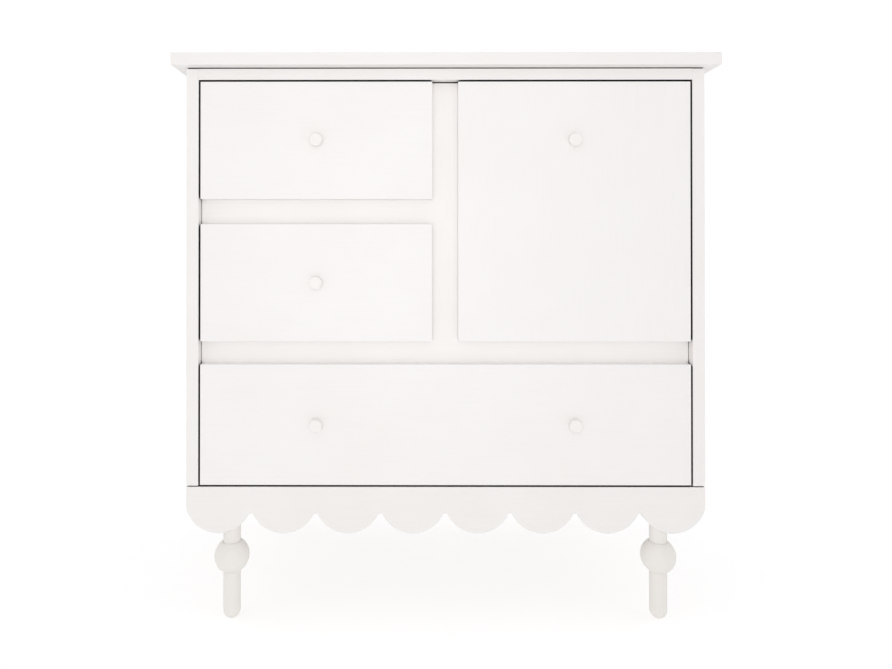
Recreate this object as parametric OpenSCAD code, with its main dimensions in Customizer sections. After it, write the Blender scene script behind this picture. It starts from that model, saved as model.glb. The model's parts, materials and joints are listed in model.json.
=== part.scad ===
// Miniature chest of drawers for a dolls' house.
// A painted case with an overhanging top stands on a scalloped apron and four dowel-and-bead legs.
// Four drawers have fronts that lie over a recessed face frame: two small ones on the left,
// a deep one on the right and a wide one below.
// Millimetres. +Z is up and the drawer fronts face -Y. The origin is on the surface that the feet
// stand on, below the middle of the whole chest's outline.

/* [Case] */
// Width of the case across its side panels
case_w = 120; // [112:1:128]
// Depth of the case from its front edges to its back
case_d = 60; // [52:1:68]
// Height of the case from the apron to the underside of the top board
case_h = 96.8; // [95:0.1:104]
// Thickness of the case boards
board_t = 2.8; // [2.6:0.1:3]
// Thickness of the back panel
back_t = 2; // [1.5:0.1:2.5]
// Overhang of the top board at the front and the sides
top_over = 2.8; // [2.8:0.1:5]
// Height of the fine shadow lines under the top board and over the apron
line_h = 0.25; // [0.2:0.05:0.3]
// Depth of those lines
line_d = 1.5; // [1:0.1:2]

/* [Fronts and face frame] */
// Thickness of the drawer fronts, and so the depth of the recess around them
front_t = 2.4; // [2:0.1:3]
// Gap between the fronts and the case around them
reveal = 0.45; // [0.3:0.05:0.8]
// Width of centre stile that shows between the two columns of fronts
stile_show = 6; // [5:0.5:8]
// Height of left rail that shows between the two small fronts
left_rail_show = 5.8; // [5:0.05:7]
// Height of cross rail that shows above the wide front
cross_rail_show = 5.35; // [5:0.05:7]
// Height of the wide front at the bottom
bottom_front_h = 27.8; // [26:0.1:29]
// How far the fronts lap over the stile and the rails
frame_lap = 1; // [0.8:0.1:1.2]
// Gap between the top end of the stile and the case above it
stile_gap = 0.3; // [0.2:0.05:0.5]
// Gap between the ends of the rails and the side panels
rail_gap = 0.1; // [0.05:0.05:0.2]

/* [Drawer boxes] */
// Gap between a drawer box and the back panel
back_gap = 1.6; // [1:0.1:4]
// Thickness of the box sides and backs
wall_t = 1.8; // [1.6:0.1:2]
// Thickness of the drawer bottoms
floor_t = 1.2; // [1:0.1:1.5]
// Height of a drawer bottom above the lower edge of its sides
floor_up = 1; // [0.8:0.1:1.5]
// Gap on each side of a drawer box
side_gap = 0.3; // [0.2:0.05:0.4]
// Gap under a drawer box
run_gap = 0.1; // [0.05:0.05:0.2]
// Gap over a drawer box
lift_gap = 0.8; // [0.6:0.1:1]

/* [Apron] */
// Thickness of the apron boards
apron_t = 4; // [4:0.5:6]
// Depth of the apron at the lowest point of a scallop
apron_h = 11; // [10.5:0.1:12]
// Scallops along the front
front_lobes = 8; // [7:1:10]
// Scallops along each side
side_lobes = 4; // [4:1:5]
// Radius of a scallop as a share of the pitch
lobe_share = 0.518; // [0.505:0.001:0.525]
// Radius of the rounded notch between two scallops
notch_r = 0.65; // [0.5:0.05:0.8]

/* [Legs] */
// Height of the scallops above the floor
leg_h = 20.3; // [19:0.1:24]
// Diameter of the leg dowel
dowel_d = 4; // [3:0.5:4]
// Diameter of the bead on the leg
bead_d = 8; // [7:0.5:9]
// Height of the bead's centre above the floor
bead_z = 14.5; // [13:0.1:15]
// Distance of a leg's centre from the end of the apron
leg_in = 10.2; // [9:0.1:12]
// Diameter of the turned tenon that enters the apron
tenon_d = 2; // [1.5:0.1:2]
// Height of the tenon above the lowest point of the apron
tenon_l = 6; // [4:0.5:7]

/* [Knobs] */
// Diameter of a knob's head
knob_d = 3; // [2.8:0.1:4]
// Distance that a knob stands out from its front
knob_out = 1.8; // [1.6:0.1:2.4]
// Length of the narrow stem behind the head
stem_l = 0.5; // [0.4:0.1:0.6]
// Diameter of the stem
stem_d = 2.3; // [2:0.1:2.6]
// Diameter of the peg that enters the front
peg_d = 1.5; // [1.2:0.1:1.6]
// Radius of the rounded rim of the head
rim_r = 0.3; // [0.2:0.05:0.35]

/* [Hidden] */
$fn = 96;

// Colours
PAINT = "#f3efea";
APRON_PAINT = "#ece8e2";
BIRCH = "#e3cda4";

// Front to back: the top board's front edge, the case's front, the face frame's front,
// the face frame's back, the back panel's front and the back of the chest
depth = case_d + top_over;
y_case = top_over - depth / 2;
y_frame = y_case + front_t;
y_behind = y_frame + board_t;
y_back = depth / 2;
y_panel = y_back - back_t;

// Side to side: the inner faces of the side panels, the edges of the fronts and of the stile, a side
// of the partition, and the outer ends of the rails
x_in = case_w / 2 - board_t;
x_front = x_in - reveal;
x_stile = stile_show / 2 + frame_lap;
x_show = stile_show / 2;
x_partition = board_t / 2;
x_rail = x_in - rail_gap;

// Bottom to top: the case, the fronts and the face frame. The shadow line over the apron is part
// of the gap under the wide front.
z_case = leg_h + apron_h;
z_top = z_case + case_h;
z_ceiling = z_top - board_t;
z_floor = z_case + board_t;
front_z0 = z_case - line_h + reveal;
front_z1 = z_ceiling - reveal;
rails_show = left_rail_show + cross_rail_show;
small_front_h = (front_z1 - front_z0 - bottom_front_h - rails_show) / 2;
cross_z0 = front_z0 + bottom_front_h - frame_lap;
cross_z1 = cross_z0 + cross_rail_show + 2 * frame_lap;
left_z0 = cross_z1 - frame_lap + small_front_h - frame_lap;
left_z1 = left_z0 + left_rail_show + 2 * frame_lap;

// The rear end of the drawer boxes
y_end = y_panel - back_gap;

// Joints and small allowances
housing = 0.8;
groove = 0.6;
back_inset = 1.5;
back_drop = 1;
guide_h = 5;
kicker_w = 8;
bead_fit = 0.03;
peg_fit = 0.02;
tenon_fit = 0.05;
cut = 1;

// A bay is the opening in the face frame that a drawer runs in: [x0, x1, z0, z1]
top_bay = [-x_in, -x_stile, left_z1, z_ceiling];
middle_bay = [-x_in, -x_stile, cross_z1, left_z0];
deep_bay = [x_stile, x_in, cross_z1, z_ceiling];
bottom_bay = [-x_in, x_in, z_floor, cross_z0];

// The outline of each front: [x0, x1, z0, z1]
top_face = [-x_front, -x_show, left_z1 - frame_lap, front_z1];
middle_face = [-x_front, -x_show, cross_z1 - frame_lap, left_z0 + frame_lap];
deep_face = [x_show, x_front, cross_z1 - frame_lap, front_z1];
bottom_face = [-x_front, x_front, front_z0, cross_z0 + frame_lap];

// Where the knobs are: [x, z]
column_x = (x_front + x_show) / 2;
top_knob_at = [-column_x, (top_face[2] + top_face[3]) / 2];
middle_knob_at = [-column_x, (middle_face[2] + middle_face[3]) / 2];
deep_knob_at = [column_x, top_knob_at[1]];
bottom_knob_z = (bottom_face[2] + bottom_face[3]) / 2;

// Where the legs are. The beads are wider than the apron, and the back rail is set in so that
// the back beads don't stand out behind the chest.
leg_x = case_w / 2 - leg_in;
front_leg_y = y_case + apron_t / 2;
back_leg_y = y_back - max(bead_d, apron_t) / 2;

// A board between two corners
module board(low, high) translate(low) cube(high - low);

// A bore along Y through a board that is as thick as deep
module bore_y(x, y, z, r, deep) translate([x, y - cut, z]) rotate([-90, 0, 0])
    cylinder(r = r, h = deep + 2 * cut);

// ---- Case ----

module top_board() color(PAINT)
    board([-case_w / 2 - top_over, -depth / 2, z_top],
        [case_w / 2 + top_over, y_back, z_top + board_t]);

// A shadow line: a fine rebate along the front edge of a board, from z upwards
module shadow_line(z) board([-case_w / 2 - cut, y_case - cut, z],
    [case_w / 2 + cut, y_case + line_d, z + line_h + cut]);

module case_top() color(PAINT) difference() {
    board([-x_in, y_case, z_ceiling], [x_in, y_back, z_top]);
    shadow_line(z_top - line_h);
}

// A side panel, with a housing on its inner face for the end of each shelf that meets it.
// side is -1 on the left and 1 on the right.
module side_panel(side, shelf_tops) color(PAINT) difference() {
    board([side > 0 ? x_in : -case_w / 2, y_case, z_case],
        [side > 0 ? case_w / 2 : -x_in, y_back, z_top]);
    shadow_line(z_top - line_h);
    for (z = shelf_tops)
        board([side > 0 ? x_in - cut : -x_in - housing, y_frame, z - board_t],
            [side > 0 ? x_in + housing : -x_in + cut, y_panel, z]);
}

module bottom_panel() color(PAINT) board([-x_in, y_frame, z_case], [x_in, y_panel, z_floor]);

module back_panel() color(PAINT) board([-x_in, y_panel, z_case], [x_in, y_back, z_ceiling]);

// ---- Face frame and dividers ----

module centre_stile() color(PAINT)
    board([-x_stile, y_frame, cross_z1], [x_stile, y_behind, z_ceiling - stile_gap]);

module left_rail() color(PAINT) board([-x_rail, y_frame, left_z0], [-x_stile, y_behind, left_z1]);

module cross_rail() color(PAINT) board([-x_rail, y_frame, cross_z0], [x_rail, y_behind, cross_z1]);

// The partition stands on the cross shelf and has a housing for the upper shelf
module centre_partition() color(PAINT) difference() {
    board([-x_partition, y_behind, cross_z1], [x_partition, y_panel, z_ceiling]);
    board([-x_partition - cut, y_behind - cut, left_z1 - board_t],
        [housing - x_partition, y_panel + cut, left_z1]);
}

module upper_shelf() color(PAINT)
    board([-x_in - housing, y_behind, left_z1 - board_t], [housing - x_partition, y_panel, left_z1]);

module cross_shelf() color(PAINT)
    board([-x_in - housing, y_behind, cross_z1 - board_t], [x_in + housing, y_panel, cross_z1]);

// A strip that fills the step between the partition and the stile, so that a drawer runs straight
module guide(side, z) color(BIRCH)
    board([side > 0 ? x_partition : -x_stile, y_behind, z],
        [side > 0 ? x_stile : -x_partition, y_panel, z + guide_h]);

// A strip under a shelf that stops the drawer below it from tipping as it is pulled out
module kicker(x, rail_z, shelf_z) color(BIRCH)
    board([x - kicker_w / 2, y_behind, rail_z], [x + kicker_w / 2, y_panel, shelf_z]);

// ---- Apron ----

// The outline of a scalloped board, from x = 0 to its length, with its lowest points at y = 0.
// The lobes are circles, and each notch between them is a small circle that touches both.
module scallops(length, lobes) {
    pitch = length / lobes;
    lobe_r = lobe_share * pitch;
    reach = lobe_r + notch_r;
    drop = sqrt(reach * reach - pitch * pitch / 4);
    touch = lobe_r - drop * lobe_r / reach;
    intersection() {
        square([length, apron_h]);
        union() {
            for (i = [0 : lobes - 1]) translate([(i + 0.5) * pitch, lobe_r]) circle(lobe_r);
            difference() {
                translate([pitch / 2, touch]) square([length - pitch, apron_h - touch]);
                for (i = [1 : lobes - 1]) translate([i * pitch, lobe_r - drop]) circle(notch_r);
            }
            for (x = [0, length - pitch / 2]) translate([x, lobe_r])
                square([pitch / 2, apron_h - lobe_r]);
        }
    }
}

// The front apron as a plain solid of a given thickness, centred on the legs' line
module front_scallops(thick) translate([-case_w / 2, front_leg_y + thick / 2, leg_h])
    rotate([90, 0, 0]) linear_extrude(thick) scallops(case_w, front_lobes);

// The bores for the tenons of two legs
module tenon_bores(y) for (side = [-1, 1]) translate([side * leg_x, y, leg_h - cut])
    cylinder(r = tenon_d / 2 + tenon_fit, h = tenon_l + 2 * cut);

module front_apron() color(APRON_PAINT) difference() {
    front_scallops(apron_t);
    tenon_bores(front_leg_y);
    shadow_line(z_case - line_h);
}

// A side apron runs from the front apron to the back of the chest
module side_apron(side) color(APRON_PAINT)
    translate([side > 0 ? case_w / 2 - apron_t : -case_w / 2, y_case + apron_t, leg_h])
        rotate([90, 0, 90]) linear_extrude(apron_t) scallops(case_d - apron_t, side_lobes);

module back_rail() color(APRON_PAINT) difference() {
    board([-case_w / 2 + apron_t, back_leg_y - apron_t / 2, leg_h],
        [case_w / 2 - apron_t, back_leg_y + apron_t / 2, z_case]);
    tenon_bores(back_leg_y);
}

// ---- Legs ----

// A dowel with a round foot
module shaft(x, y, top_z) translate([x, y, dowel_d / 2]) {
    cylinder(d = dowel_d, h = top_z - dowel_d / 2);
    sphere(d = dowel_d);
}

// The tenon turned on the top of a leg, which enters its bore in the apron
module tenon(x, y) translate([x, y, leg_h - cut]) cylinder(d = tenon_d, h = tenon_l + cut);

// The neck of a front leg is as wide as the apron is thick, and is shaped to the scallop above it
module front_leg(side) color(APRON_PAINT) {
    difference() {
        shaft(side * leg_x, front_leg_y, leg_h + apron_h / 2);
        front_scallops(apron_t + 2 * cut);
    }
    tenon(side * leg_x, front_leg_y);
}

module back_leg(side) color(APRON_PAINT) {
    shaft(side * leg_x, back_leg_y, leg_h);
    tenon(side * leg_x, back_leg_y);
}

// A drilled bead on the dowel
module bead(side, y) color(APRON_PAINT) translate([side * leg_x, y, bead_z]) difference() {
    sphere(d = bead_d);
    cylinder(r = dowel_d / 2 + bead_fit, h = bead_d + 2 * cut, center = true);
}

// ---- Drawers ----

// The outer box behind a front, from the bay that it runs in: [x0, x1, z0, z1]
function box_of(bay) =
    [bay[0] + side_gap, bay[1] - side_gap, bay[2] + run_gap, bay[3] - lift_gap];

// A front, with grooves behind for the box sides and bottom, and a bore for each knob
module drawer_front(face, bay, knobs) color(PAINT) {
    box = box_of(bay);
    difference() {
        board([face[0], y_case, face[2]], [face[1], y_frame, face[3]]);
        for (x = [box[0], box[1] - wall_t])
            board([x, y_frame - groove, box[2]], [x + wall_t, y_frame + cut, box[3]]);
        board([box[0] + wall_t - groove, y_frame - groove, box[2] + floor_up],
            [box[1] - wall_t + groove, y_frame + cut, box[2] + floor_up + floor_t]);
        for (k = knobs) bore_y(k[0], y_case, k[1], peg_d / 2 + peg_fit, front_t);
    }
}

// A side, grooved for the bottom and for the back. side is -1 on the left and 1 on the right.
module drawer_side(bay, side) color(BIRCH) {
    box = box_of(bay);
    x0 = side > 0 ? box[1] - wall_t : box[0];
    groove_x = side > 0 ? x0 - cut : x0 + wall_t - groove;
    floor_z = box[2] + floor_up;
    difference() {
        board([x0, y_frame - groove, box[2]], [x0 + wall_t, y_end, box[3]]);
        board([groove_x, y_frame - cut, floor_z], [groove_x + groove + cut, y_end + cut, floor_z + floor_t]);
        board([groove_x, y_end - back_inset - wall_t, floor_z + floor_t],
            [groove_x + groove + cut, y_end - back_inset, box[3] + cut]);
    }
}

// The back stands on the bottom, a little lower than the sides
module drawer_back(bay) color(BIRCH) {
    box = box_of(bay);
    board([box[0] + wall_t - groove, y_end - back_inset - wall_t, box[2] + floor_up + floor_t],
        [box[1] - wall_t + groove, y_end - back_inset, box[3] - back_drop]);
}

module drawer_bottom(bay) color(BIRCH) {
    box = box_of(bay);
    board([box[0] + wall_t - groove, y_frame - groove, box[2] + floor_up],
        [box[1] - wall_t + groove, y_end, box[2] + floor_up + floor_t]);
}

// A turned knob: a peg, a narrow stem and a flat round head with a rounded rim
module knob(at) color(PAINT) translate([at[0], y_case, at[1]]) rotate([90, 0, 0]) rotate_extrude() {
    translate([0, -front_t]) square([peg_d / 2, front_t]);
    square([stem_d / 2, stem_l]);
    translate([0, stem_l]) square([knob_d / 2 - rim_r, knob_out - stem_l]);
    translate([0, stem_l + rim_r]) square([knob_d / 2, knob_out - stem_l - 2 * rim_r]);
    for (y = [stem_l + rim_r, knob_out - rim_r]) translate([knob_d / 2 - rim_r, y]) circle(rim_r);
}

top_board();
case_top();
side_panel(-1, [left_z1, cross_z1]);  // left_panel
side_panel(1, [cross_z1]);  // right_panel
bottom_panel();
back_panel();
centre_stile();
left_rail();
cross_rail();
centre_partition();
upper_shelf();
cross_shelf();
guide(-1, left_z1);  // upper_guide
guide(-1, cross_z1);  // lower_guide
guide(1, cross_z1);  // right_guide
kicker(-column_x, left_z0, left_z1 - board_t);  // upper_kicker
kicker(0, cross_z0, cross_z1 - board_t);  // lower_kicker
front_apron();
side_apron(-1);  // left_apron
side_apron(1);  // right_apron
back_rail();
front_leg(-1);  // front_left_leg
front_leg(1);  // front_right_leg
back_leg(-1);  // back_left_leg
back_leg(1);  // back_right_leg
bead(-1, front_leg_y);  // front_left_bead
bead(1, front_leg_y);  // front_right_bead
bead(-1, back_leg_y);  // back_left_bead
bead(1, back_leg_y);  // back_right_bead
drawer_front(top_face, top_bay, [top_knob_at]);  // top_drawer_front
drawer_side(top_bay, -1);  // top_drawer_left_side
drawer_side(top_bay, 1);  // top_drawer_right_side
drawer_back(top_bay);  // top_drawer_back
drawer_bottom(top_bay);  // top_drawer_bottom
knob(top_knob_at);  // top_drawer_knob
drawer_front(middle_face, middle_bay, [middle_knob_at]);  // middle_drawer_front
drawer_side(middle_bay, -1);  // middle_drawer_left_side
drawer_side(middle_bay, 1);  // middle_drawer_right_side
drawer_back(middle_bay);  // middle_drawer_back
drawer_bottom(middle_bay);  // middle_drawer_bottom
knob(middle_knob_at);  // middle_drawer_knob
drawer_front(deep_face, deep_bay, [deep_knob_at]);  // deep_drawer_front
drawer_side(deep_bay, -1);  // deep_drawer_left_side
drawer_side(deep_bay, 1);  // deep_drawer_right_side
drawer_back(deep_bay);  // deep_drawer_back
drawer_bottom(deep_bay);  // deep_drawer_bottom
knob(deep_knob_at);  // deep_drawer_knob
drawer_front(bottom_face, bottom_bay, [[-column_x, bottom_knob_z], [column_x, bottom_knob_z]]);  // bottom_drawer_front
drawer_side(bottom_bay, -1);  // bottom_drawer_left_side
drawer_side(bottom_bay, 1);  // bottom_drawer_right_side
drawer_back(bottom_bay);  // bottom_drawer_back
drawer_bottom(bottom_bay);  // bottom_drawer_bottom
knob([-column_x, bottom_knob_z]);  // bottom_drawer_left_knob
knob([column_x, bottom_knob_z]);  // bottom_drawer_right_knob
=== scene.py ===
import json
import math

import bpy
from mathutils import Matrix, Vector


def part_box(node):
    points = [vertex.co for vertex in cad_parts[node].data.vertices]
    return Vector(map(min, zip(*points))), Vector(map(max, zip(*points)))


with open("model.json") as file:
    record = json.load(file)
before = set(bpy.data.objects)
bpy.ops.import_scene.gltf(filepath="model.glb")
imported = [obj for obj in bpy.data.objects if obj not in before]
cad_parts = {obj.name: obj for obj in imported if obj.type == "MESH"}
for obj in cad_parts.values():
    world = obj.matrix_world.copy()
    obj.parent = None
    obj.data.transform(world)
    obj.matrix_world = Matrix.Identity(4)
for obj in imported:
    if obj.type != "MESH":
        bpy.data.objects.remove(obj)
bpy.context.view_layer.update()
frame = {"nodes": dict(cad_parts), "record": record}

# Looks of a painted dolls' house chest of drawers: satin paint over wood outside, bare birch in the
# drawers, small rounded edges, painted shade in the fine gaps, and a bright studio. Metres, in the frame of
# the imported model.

NODES = frame["nodes"]
MM = 0.001

# ---- Colours, as linear red, green and blue ----
# The whites of the one paint differ partly in tone and partly as painted light: the frame's is lighter
# against the shade of its recess, and the apron's and the legs' are darker as painted shade low on the
# chest
CASE_WHITE = (0.880, 0.858, 0.845)
FRAME_WHITE = (0.930, 0.908, 0.895)
FRONT_WHITE = (0.895, 0.875, 0.863)
APRON_WHITE = (0.872, 0.847, 0.832)
LEG_WHITE = (0.836, 0.806, 0.772)
KNOB_WHITE = (0.885, 0.862, 0.846)
BIRCH_PALE = (0.720, 0.540, 0.330)
BIRCH_DARK = (0.560, 0.375, 0.200)
GLUE_LINE = (0.230, 0.130, 0.070)
# What paint is multiplied by where the grain or a cloud shades it most
PAINT_SHADE = (0.962, 0.955, 0.945)

# ---- Painted shade in fine gaps: the near-black colour that their walls are darkened to, how near a wall has to be
# to count, and how open a place is where the darkening starts and where it is complete ----
PAINTED_GAP_SHADE = (0.020, 0.018, 0.016)
GAP_SHADE_REACH = 2.0 * MM
GAP_SHADE_STARTS = 0.40
GAP_SHADE_COMPLETE = 0.28
GAP_SHADE_RAYS = 24

# ---- Radius of the rounded edges ----
BOARD_EDGE = 0.13 * MM
FRONT_EDGE = 0.14 * MM
BEAD_EDGE = 0.15 * MM
FILLED_EDGE = 0.06 * MM
BARE_EDGE = 0.10 * MM

# ---- Sizes of what textures show, in millimetres: along and across the grain, or one number all round ----
PAINT_STREAKS = (14.0, 0.55)
PAINT_FIBRES = (3.5, 0.16)
PAINT_CLOUDS = 16.0
ORANGE_PEEL = 0.55
BIRCH_RINGS = (26.0, 1.7)
BIRCH_FIBRES = (4.0, 0.14)
BIRCH_PORES = (1.2, 0.09)
BIRCH_ENDS = 0.16

# ---- Depth of the relief ----
PAINT_STREAKS_DEPTH = 0.014 * MM
PAINT_FIBRES_DEPTH = 0.004 * MM
ORANGE_PEEL_DEPTH = 0.006 * MM
BIRCH_RINGS_DEPTH = 0.020 * MM
BIRCH_FIBRES_DEPTH = 0.014 * MM

# ---- Plywood, as shares of its thickness: the middle layer's half, a glue line's half, and their blur ----
CORE_HALF = 0.17
GLUE_HALF = 0.03
PLY_BLUR = 0.02


class Tree:
    """The node tree of a material or a world, with one short call for each node in it."""

    def __init__(self, owner):
        owner.use_nodes = True
        self.owner = owner
        self.nodes = owner.node_tree.nodes
        self.links = owner.node_tree.links

    def surface(self, socket, value):
        """Sets a socket of the material's own shader."""
        self.set(self.nodes["Principled BSDF"].inputs[socket], value)

    def add(self, kind, inputs=None, **settings):
        """Adds a node. inputs maps a socket's name to a value or to another node's output."""
        node = self.nodes.new(kind)
        for key, value in settings.items():
            setattr(node, key, value)
        for key, value in (inputs or {}).items():
            self.set(node.inputs[key], value)
        return node

    def set(self, socket, value):
        """Links a socket to another node's output, or sets it to a value."""
        if isinstance(value, bpy.types.NodeSocket):
            self.links.new(value, socket)
        else:
            socket.default_value = value

    def maths(self, operation, *values):
        node = self.add("ShaderNodeMath", operation=operation)
        for socket, value in zip(node.inputs, values):
            self.set(socket, value)
        return node.outputs[0]

    def mix(self, factor, a, b):
        """Colour a at factor 0 and colour b at factor 1."""
        node = self.add("ShaderNodeMix", data_type="RGBA")
        sockets = {s.identifier: s for s in node.inputs}
        self.set(sockets["Factor_Float"], factor)
        for key, colour in (("A_Color", a), ("B_Color", b)):
            self.set(sockets[key], (*colour, 1.0) if isinstance(colour, tuple) else colour)
        return next(s for s in node.outputs if s.identifier == "Result_Color")

    def spread(self, value, low, high, out_low=0.0, out_high=1.0):
        """Maps low..high to out_low..out_high, and holds it there beyond them."""
        return self.add("ShaderNodeMapRange", {
            "Value": value, "From Min": low, "From Max": high,
            "To Min": out_low, "To Max": out_high}).outputs["Result"]

    def coordinate(self, kind):
        return self.add("ShaderNodeTexCoord").outputs[kind]

    def split(self, vector):
        """The node that splits a vector into its X, Y and Z outputs."""
        return self.add("ShaderNodeSeparateXYZ", {"Vector": vector})

    def place(self):
        """The place on the piece, in millimetres."""
        scaled = self.add("ShaderNodeVectorMath", {"Scale": 1 / MM}, operation="SCALE")
        self.links.new(self.coordinate("Object"), scaled.inputs[0])
        return scaled.outputs[0]

    def noise(self, at, size, detail=3.0, roughness=0.5, twist=0.0):
        """Noise with features of that size in millimetres: one number, or three for a stretched one."""
        sizes = size if isinstance(size, tuple) else (size,) * 3
        scaled = self.add("ShaderNodeMapping", {"Vector": at, "Scale": [1 / s for s in sizes]})
        return self.add("ShaderNodeTexNoise", {
            "Vector": scaled.outputs[0], "Scale": 1.0, "Detail": detail,
            "Roughness": roughness, "Distortion": twist}).outputs["Fac"]

    def bump(self, height, depth, under=None):
        """Relief of that depth in metres, laid over the relief that is under it."""
        inputs = {"Height": height, "Distance": depth, "Strength": 1.0}
        if under is not None:
            inputs["Normal"] = under
        return self.add("ShaderNodeBump", inputs).outputs["Normal"]


def stretched(grain, size):
    """A size along and across the grain, as sizes along X, Y and Z."""
    along, across = size
    return tuple(along if axis == grain else across for axis in "XYZ")


def facing(tree, axis):
    """1 where the surface faces along that axis, and 0 where it lies along it."""
    normal = tree.split(tree.coordinate("Normal"))
    return tree.spread(tree.maths("ABSOLUTE", normal.outputs[axis]), 0.6, 0.8)


def darken_gaps_as_shade(tree, colour):
    """Paints shade into the walls of fine gaps, where hardly any light gets in: their colour is darkened
    towards near black.

    Faces to the front and to the back are not darkened.
    """
    openness = tree.add(
        "ShaderNodeAmbientOcclusion", {"Distance": GAP_SHADE_REACH}, samples=GAP_SHADE_RAYS).outputs["AO"]
    wall = tree.maths("SUBTRACT", 1.0, facing(tree, "Y"))
    closed = tree.spread(openness, GAP_SHADE_STARTS, GAP_SHADE_COMPLETE)
    return tree.mix(tree.maths("MULTIPLY", wall, closed), colour, PAINTED_GAP_SHADE)


def paint(name, colour, grain, thin=0.0, gap_shade=True):
    """Satin paint over wood. The grain still shows a little, more so where the paint is thin."""
    tree = Tree(bpy.data.materials.new(name))
    at = tree.place()
    streaks = tree.noise(at, stretched(grain, PAINT_STREAKS), detail=4.0, roughness=0.55, twist=0.3)
    fibres = tree.noise(at, stretched(grain, PAINT_FIBRES), detail=2.0)
    clouds = tree.noise(at, PAINT_CLOUDS, detail=2.0)
    peel = tree.noise(at, ORANGE_PEEL, detail=2.0, roughness=0.4)
    shade = tuple(c * t for c, t in zip(colour, PAINT_SHADE))
    grainy = tree.spread(streaks, 0.42, 0.72, 0.0, 0.30 + thin)
    cloudy = tree.spread(clouds, 0.35, 0.65, 0.0, 0.35)
    tone = tree.mix(tree.maths("ADD", grainy, cloudy), colour, shade)
    # In fine gaps the colour is darkened towards near black: painted shade
    tree.surface("Base Color", darken_gaps_as_shade(tree, tone) if gap_shade else tone)
    tree.surface("Roughness", tree.spread(tree.maths("ADD", clouds, peel), 0.7, 1.3, 0.36, 0.48))
    relief = tree.bump(streaks, PAINT_STREAKS_DEPTH)
    relief = tree.bump(fibres, PAINT_FIBRES_DEPTH, relief)
    relief = tree.bump(peel, ORANGE_PEEL_DEPTH, relief)
    tree.surface("Normal", relief)
    tree.surface("Specular IOR Level", 0.45)
    tree.surface("Coat Weight", 0.08)
    tree.surface("Coat Roughness", 0.30)
    return tree.owner


def birch(name, grain, layers_along=None):
    """Bare birch with end grain. layers_along is the axis that plywood's three layers lie across."""
    tree = Tree(bpy.data.materials.new(name))
    at = tree.place()
    rings = tree.noise(at, stretched(grain, BIRCH_RINGS), detail=3.0, roughness=0.6, twist=0.6)
    fibres = tree.noise(at, stretched(grain, BIRCH_FIBRES), detail=3.0)
    pores = tree.noise(at, stretched(grain, BIRCH_PORES), detail=1.0)
    ends = tree.noise(at, BIRCH_ENDS, detail=2.0)
    ringed = tree.spread(rings, 0.35, 0.68, 0.0, 0.55)
    fibrous = tree.spread(fibres, 0.4, 0.7, 0.0, 0.3)
    porous = tree.spread(pores, 0.66, 0.74, 0.0, 0.5)
    end_grain = tree.maths("MULTIPLY", facing(tree, grain), tree.spread(ends, 0.3, 0.7, 0.35, 0.8))
    tone = ringed
    for darker in (fibrous, porous, end_grain):
        tone = tree.maths("ADD", tone, darker)
    colour = tree.mix(tone, BIRCH_PALE, BIRCH_DARK)
    if layers_along:
        colour = plies(tree, colour, layers_along)
    tree.surface("Base Color", colour)
    tree.surface("Roughness", tree.spread(fibres, 0.3, 0.7, 0.55, 0.72))
    relief = tree.bump(rings, BIRCH_RINGS_DEPTH)
    relief = tree.bump(fibres, BIRCH_FIBRES_DEPTH, relief)
    tree.surface("Normal", relief)
    tree.surface("Specular IOR Level", 0.30)
    return tree.owner


def plies(tree, colour, axis):
    """Three layers of veneer on the edges of plywood: a darker middle one between two glue lines."""
    across = tree.split(tree.coordinate("Generated")).outputs[axis]
    from_middle = tree.maths("ABSOLUTE", tree.maths("SUBTRACT", across, 0.5))
    from_glue = tree.maths("ABSOLUTE", tree.maths("SUBTRACT", from_middle, CORE_HALF))
    core = tree.spread(from_middle, CORE_HALF, CORE_HALF - PLY_BLUR)
    glue = tree.spread(from_glue, GLUE_HALF, GLUE_HALF - PLY_BLUR)
    edge = tree.maths("SUBTRACT", 1.0, facing(tree, axis))
    for layer, strength, tint in ((core, 0.55, BIRCH_DARK), (glue, 0.7, GLUE_LINE)):
        share = tree.maths("MULTIPLY", tree.maths("MULTIPLY", layer, edge), strength)
        colour = tree.mix(share, colour, tint)
    return colour


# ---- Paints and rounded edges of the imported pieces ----
PAINTS = {
    "case_paint": (CASE_WHITE, BOARD_EDGE),
    "frame_paint": (FRAME_WHITE, 0.0),
    "front_paint": (FRONT_WHITE, FRONT_EDGE),
    "apron_paint": (APRON_WHITE, BOARD_EDGE),
    "leg_paint": (LEG_WHITE, 0.0),
    "knob_paint": (KNOB_WHITE, 0.0),
}
# Turned pieces stand free, so their paint gets no painted shade in gaps
TURNED = ("leg_paint", "knob_paint")
# How much more of the grain shows on an edge, where the paint is thin
EDGE_THIN = 0.25
# Pieces whose edges differ: the case's joints are filled and painted over, so hardly any line shows there
OTHER_EDGES = {
    "case_top": 0.0,
    "left_panel": FILLED_EDGE,
    "right_panel": FILLED_EDGE,
    **{name: BEAD_EDGE for name in NODES if name.endswith("_bead")},
}
# Edges with a sharper corner than this are rounded
SHARP = math.radians(35)
# Faces that meet at less than this are one flat face
FLAT = math.radians(0.1)
# Points nearer than this are one point
SAME_POINT = 0.001 * MM


def grain_axis(name):
    """The axis that a piece's grain runs along, which is its longest side."""
    low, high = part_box(name)
    sides = high - low
    return "XYZ"[max(range(3), key=lambda i: sides[i])]


def thin_axis(name):
    """The axis across a board, which is its shortest side."""
    low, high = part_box(name)
    sides = high - low
    return "XYZ"[min(range(3), key=lambda i: sides[i])]


materials = {}


def material_for(slot, grain, make):
    """The material for a slot, made once for each grain direction."""
    key = f"{slot}_{grain}"
    if key not in materials:
        materials[key] = make(key)
    return materials[key]


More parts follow.
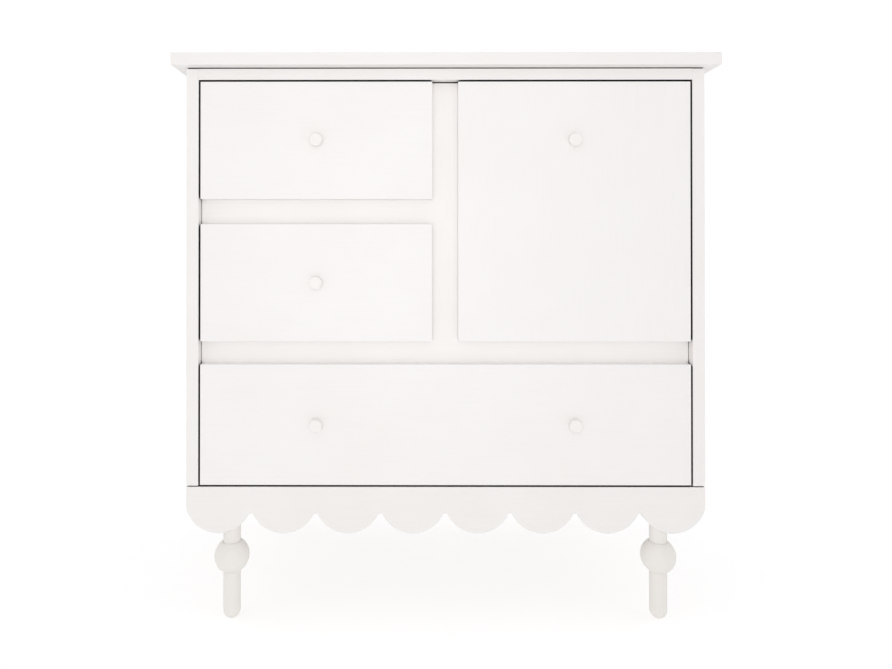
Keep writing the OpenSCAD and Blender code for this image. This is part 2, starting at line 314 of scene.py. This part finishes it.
def round_edges(piece, radius):
    """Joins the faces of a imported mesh, drops the lines across its flat faces, and rounds its edges."""
    weld = piece.modifiers.new("weld", "WELD")
    weld.merge_threshold = SAME_POINT
    flatten = piece.modifiers.new("flatten", "DECIMATE")
    flatten.decimate_type = "DISSOLVE"
    flatten.angle_limit = FLAT
    edges = piece.modifiers.new("edges", "BEVEL")
    edges.width = radius
    edges.segments = 3
    edges.limit_method = "ANGLE"
    edges.angle_limit = SHARP
    edges.harden_normals = True
    return edges


def dress(name, slot):
    """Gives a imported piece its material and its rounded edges."""
    piece = NODES[name]
    grain = grain_axis(name)
    if slot in PAINTS:
        colour, radius = PAINTS[slot]
        radius = OTHER_EDGES.get(name, radius)
        gap_shade = slot not in TURNED
        material = material_for(slot, grain, lambda key: paint(key, colour, grain, 0.0, gap_shade))
        if radius:
            edge = material_for(
                slot + "_edge", grain, lambda key: paint(key, colour, grain, EDGE_THIN, gap_shade))
    else:
        radius = BARE_EDGE
        layers = thin_axis(name) if slot == "birch_ply" else None
        material = material_for(slot, grain, lambda key: birch(key, grain, layers))
        edge = material
    piece.data.materials.clear()
    piece.data.materials.append(material)
    if radius:
        piece.data.materials.append(edge)
        round_edges(piece, radius).material = 1


for part in frame["record"]["subparts"]:
    dress(part["node"], part["material_slot"])


# ---- Camera: a short lens close to the chest. The lens and the sensor are in millimetres, and the shift
# is a share of the picture's width ----
LENS = 27.44
SENSOR = 36.0
SHIFT = (0.0450, -0.1075)
NEAREST = 10.0 * MM
CAMERA_PLACE = (-8.67 * MM, -186.0 * MM, 87.72 * MM)
CAMERA_TURN = (math.radians(90.27), 0.0, math.radians(0.166))

# ---- Studio ----
WHITE = (1.0, 1.0, 1.0, 1.0)
# How bright the light tent is all round, how much brighter it is at the sides and above, and the backdrop
# as the camera sees it
EVEN = 0.231
SIDES = 0.78
ABOVE = 0.50
BACKDROP = 1.02
# The floor: half its side, its own colour, and its light as it falls on the chest and as the camera sees it
FLOOR_HALF = 2.0
FLOOR_GREY = (0.70, 0.70, 0.70, 1.0)
FLOOR_ROUGHNESS = 0.9
FLOOR_CAST = 0.42
FLOOR_SEEN = 0.490
# Each softbox: its place, its side, and how bright it alone makes a white card at the chest
SOFTBOXES = {
    "key": (Vector((-0.022, -0.275, 0.092)), 0.14, 0.205),
    "upper": (Vector((-0.022, -0.260, 0.250)), 0.24, 0.115),
}
# The point that the softboxes face
AIM = Vector((-0.012, -0.0286, 0.086))


def camera():
    lens = bpy.data.cameras.new("camera")
    lens.sensor_width = SENSOR
    lens.lens = LENS
    lens.shift_x, lens.shift_y = SHIFT
    lens.clip_start = NEAREST
    holder = bpy.data.objects.new("camera", lens)
    holder.location = CAMERA_PLACE
    holder.rotation_euler = CAMERA_TURN
    bpy.context.scene.collection.objects.link(holder)
    bpy.context.scene.camera = holder


def softbox(name, place, side, share, unlit):
    """A softbox that faces the chest. It lights everything but the pieces in the collection unlit."""
    lamp = bpy.data.lights.new(name, "AREA")
    lamp.size = side
    lamp.energy = share * (math.pi * (place - AIM).length) ** 2
    holder = bpy.data.objects.new(name, lamp)
    holder.location = place
    holder.rotation_euler = (AIM - place).to_track_quat("-Z", "Y").to_euler()
    holder.visible_camera = False
    holder.light_linking.receiver_collection = unlit
    bpy.context.scene.collection.objects.link(holder)


def sky():
    """A light tent: even light from all round, with more from the sides and from above."""
    world = bpy.data.worlds.new("studio")
    bpy.context.scene.world = world
    tree = Tree(world)
    x, _, z = tree.split(tree.coordinate("Generated")).outputs
    light = tree.maths("MULTIPLY_ADD", tree.maths("MULTIPLY", x, x), SIDES, EVEN)
    light = tree.maths("MULTIPLY_ADD", tree.maths("MAXIMUM", z, 0.0), ABOVE, light)
    seen = tree.add("ShaderNodeLightPath").outputs["Is Camera Ray"]
    background = tree.nodes["Background"]
    background.inputs["Color"].default_value = WHITE
    tree.set(background.inputs["Strength"], tree.spread(seen, 0.0, 1.0, light, BACKDROP))


def floor():
    """A pale sheet that is lit from below, as on a light table, so that shadows on it stay faint.

    The softboxes leave it out, so that it is as bright behind them as in front of them.
    """
    mesh = bpy.data.meshes.new("floor")
    corners = [(x * FLOOR_HALF, y * FLOOR_HALF, 0) for x, y in ((-1, -1), (1, -1), (1, 1), (-1, 1))]
    mesh.from_pydata(corners, [], [(0, 1, 2, 3)])
    sheet = bpy.data.objects.new("floor", mesh)
    bpy.context.scene.collection.objects.link(sheet)
    tree = Tree(bpy.data.materials.new("floor"))
    seen = tree.add("ShaderNodeLightPath").outputs["Is Camera Ray"]
    tree.surface("Base Color", FLOOR_GREY)
    tree.surface("Roughness", FLOOR_ROUGHNESS)
    tree.surface("Emission Color", WHITE)
    tree.surface("Emission Strength", tree.spread(seen, 0.0, 1.0, FLOOR_CAST, FLOOR_SEEN))
    mesh.materials.append(tree.owner)
    unlit = bpy.data.collections.new("unlit_by_softboxes")
    unlit.objects.link(sheet)
    unlit.collection_objects[0].light_linking.link_state = "EXCLUDE"
    return unlit


camera()
sky()
unlit = floor()
for name, (place, side, share) in SOFTBOXES.items():
    softbox(name, place, side, share, unlit)
bpy.context.scene.view_settings.view_transform = "Standard"
